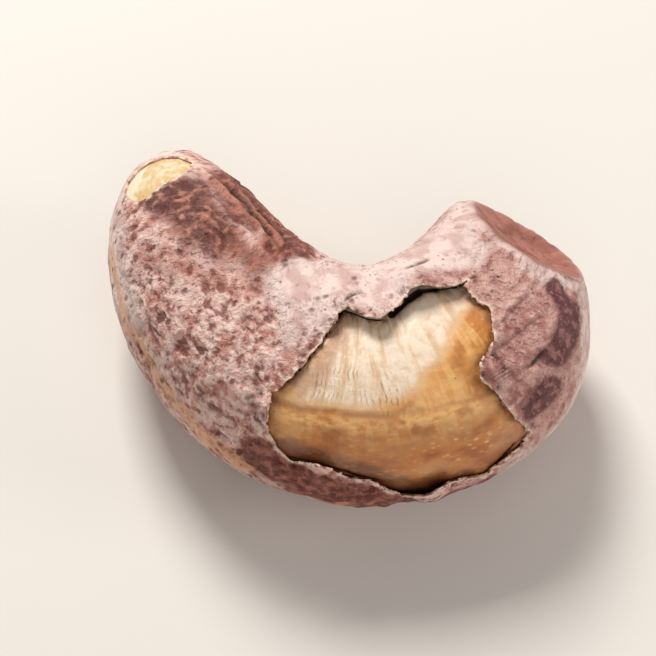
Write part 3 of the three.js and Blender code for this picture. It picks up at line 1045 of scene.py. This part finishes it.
def kernel_specks(f, colour, medium, cloudy, soft):
    """The pale flecks in the flesh, granular over the back and painted as glints in the window, the
    specks, and the painted shade along the torn edges and in the gaps under the lifted skin.
    """
    pale_flecks = f.times(f.times(f.dots(0.28, 0.15, 0.4), f.mark("granular_and_glints")), f.between(soft, 0.38, 0.6))
    colour = f.over(colour, paint(246, 206, 146), f.times(pale_flecks, 0.7))
    specks = f.times(f.dots(0.6, 0.04, 0.1), f.between(medium, 0.52, 0.6))
    colour = f.over(colour, paint(92, 60, 40), f.times(specks, 0.6))
    rim = f.times(f.mark("rim"), f.between(cloudy, 0.3, 0.6))
    colour = f.over(colour, paint(112, 58, 30), f.times(rim, 0.7))
    # Painted shadow, near black, in the gaps under the lifted skin
    return f.laid(colour, paint(26, 14, 10), f.mark("shaded_gap"), 0.35, 0.75)


def kernel_finish():
    f = Finish("roasted_kernel")
    medium = f.mottle(1.3, 4)
    cloudy = f.mottle(0.45, 4)
    soft = f.mottle(0.9, 2)
    fibres = f.mottle(0.4, 3, squash=(1.0, 0.15, 0.15), distortion=0.4)
    gold = kernel_gold(f, medium, cloudy, soft, fibres)
    bare = f.broken("pale", cloudy, 1.0)
    colour = f.laid(gold, kernel_cream(f, cloudy, fibres), bare, 0.75, 1.5)
    tip = f.laid(paint(214, 180, 124), paint(240, 224, 196), bare, 0.8, 1.2)
    colour = f.over(colour, tip, f.times(f.mark("tip"), 0.9))
    # Painted shade along the crease below the ridge
    colour = f.over(colour, paint(168, 106, 58), f.times(f.mark("crease"), 0.75))
    # The wrinkle lines are sunk by the bump below and painted darker: painted shade in their grooves
    wrinkled = f.times(f.times(f.mark("wrinkled"), f.lined(0.19, 26.0)), f.between(cloudy, 0.4, 0.6))
    colour = f.over(colour, paint(160, 114, 76), f.times(wrinkled, 0.65))
    colour = kernel_specks(f, colour, medium, cloudy, soft)
    f.set(Base_Color=colour, Roughness=0.4, Specular_IOR_Level=0.45)
    f.set(Subsurface_Weight=0.2, Subsurface_Scale=0.5 * MM, Subsurface_Radius=(1.0, 0.6, 0.3))
    f.set(Coat_Weight=0.15, Coat_Roughness=0.3)
    f.set(Normal=f.raised(fibres, 0.05, f.raised(wrinkled, -0.04, f.raised(cloudy, 0.1))))
    return f.material


def make_floor():
    bm = bmesh.new()
    bmesh.ops.create_grid(bm, x_segments=1, y_segments=1, size=FLOOR_SIDE / 2)
    mesh = bpy.data.meshes.new("floor")
    bm.to_mesh(mesh)
    bm.free()
    floor = bpy.data.objects.new("floor", mesh)
    bpy.context.collection.objects.link(floor)
    material = bpy.data.materials.new("floor")
    material.use_nodes = True
    surface = material.node_tree.nodes["Principled BSDF"]
    surface.inputs["Base Color"].default_value = paint(226, 222, 216)
    surface.inputs["Roughness"].default_value = 0.9
    mesh.materials.append(material)


def aim(obj, towards, distance, at):
    """Puts a light or camera this far from a point, in this direction, facing it."""
    direction = Vector(towards).normalized()
    obj.location = Vector(at) + direction * distance
    obj.rotation_mode = "QUATERNION"
    obj.rotation_quaternion = (-direction).to_track_quat("-Z", "Y")
    bpy.context.collection.objects.link(obj)


def make_camera(centre):
    camera = bpy.data.objects.new("camera", bpy.data.cameras.new("camera"))
    camera.data.lens = LENS
    camera.data.clip_start = NEAREST_SEEN
    aim(camera, VIEW_BACK, LENS / camera.data.sensor_width * VIEW_WIDTH, centre)
    bpy.context.scene.camera = camera


def make_lights(centre):
    for name, towards, distance, size, power, colour in LIGHTS:
        light = bpy.data.lights.new(name, "AREA")
        light.size = size
        light.energy = power
        light.color = colour
        aim(bpy.data.objects.new(name, light), towards, distance, centre)


def make_studio():
    world = bpy.data.worlds.new("studio")
    world.use_nodes = True
    background = world.node_tree.nodes["Background"]
    background.inputs["Color"].default_value = STUDIO_COLOUR
    background.inputs["Strength"].default_value = STUDIO_STRENGTH
    bpy.context.scene.world = world
    bpy.context.scene.view_settings.view_transform = "Standard"


def main():
    low, high = cad_box
    centre = (low + high) / 2
    make_camera(centre)
    make_floor()
    make_lights(centre)
    make_studio()
    shift = make_kernel(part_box("kernel"))
    make_skin(shift)


main()
